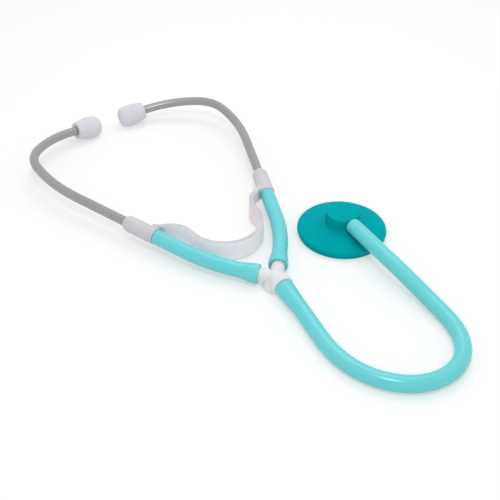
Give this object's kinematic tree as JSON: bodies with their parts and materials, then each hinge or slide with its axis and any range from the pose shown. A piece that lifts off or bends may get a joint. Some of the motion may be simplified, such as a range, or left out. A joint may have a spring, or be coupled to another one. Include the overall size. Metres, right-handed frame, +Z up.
{
  "type": "toy stethoscope",
  "caption": "Toy stethoscope with a flat round chest piece, soft hose, Y connector, sprung headset and soft ear tips, laid flat on a table.",
  "frame": {"origin": "middle of the chest piece's skin face, which rests on the table", "axes": "+Z up off the table, +Y along the headset from the connector towards the ear tips, +X to the right of the headset, towards the chest piece"},
  "size_m": [0.1503, 0.3016, 0.0166],
  "materials": {
    "hose_aqua": "soft satin vinyl",
    "chest_teal": "satin moulded",
    "skin_white": "smooth satin",
    "connector_white": "milky satin",
    "headset_pale": "satin moulded",
    "ear_tube_grey": "satin",
    "ear_tip_pale": "soft matt"
  },
  "bodies": {
    "connector": {"y_connector": "connector_white", "main_tube": "hose_aqua", "arm_tube_left": "hose_aqua", "arm_tube_right": "hose_aqua", "spring_band": "headset_pale"},
    "left_arm": {"sleeve_left": "headset_pale"},
    "right_arm": {"sleeve_right": "headset_pale"},
    "left_ear": {"ear_tube_left": "ear_tube_grey", "ear_tip_left": "ear_tip_pale"},
    "right_ear": {"ear_tube_right": "ear_tube_grey", "ear_tip_right": "ear_tip_pale"},
    "chest_piece": {"chest_body": "chest_teal", "retaining_ring": "chest_teal", "diaphragm": "skin_white"}
  },
  "joints": [
    {"name": "left_spread", "type": "hinge", "parent": "connector", "child": "left_arm", "pos_m": [-0.057, 0, 0], "axis": [0, 0, 1], "range_deg": [-2, 17], "stiffness_Nm_per_rad": 0.6, "deforming": ["spring_band", "arm_tube_left"]},
    {"name": "right_spread", "type": "hinge", "parent": "connector", "child": "right_arm", "pos_m": [-0.057, 0, 0], "axis": [0, 0, -1], "range_deg": [-2, 17], "stiffness_Nm_per_rad": 0.6, "deforming": ["spring_band", "arm_tube_right"]},
    {"name": "left_ear_turn", "type": "hinge", "parent": "left_arm", "child": "left_ear", "pos_m": [-0.09384, 0.04432, 0.009], "axis": [-0.3657, 0.9294, 0.0496], "range_deg": [-25, 25]},
    {"name": "right_ear_turn", "type": "hinge", "parent": "right_arm", "child": "right_ear", "pos_m": [-0.02016, 0.04432, 0.009], "axis": [0.3657, 0.9294, 0.0496], "range_deg": [-25, 25]},
    {"name": "chest_swivel", "type": "hinge", "parent": "connector", "child": "chest_piece", "pos_m": [0, 0, 0.0116], "axis": [-0.1045, -0.9945, 0], "range_deg": [-90, 90]}
  ]
}
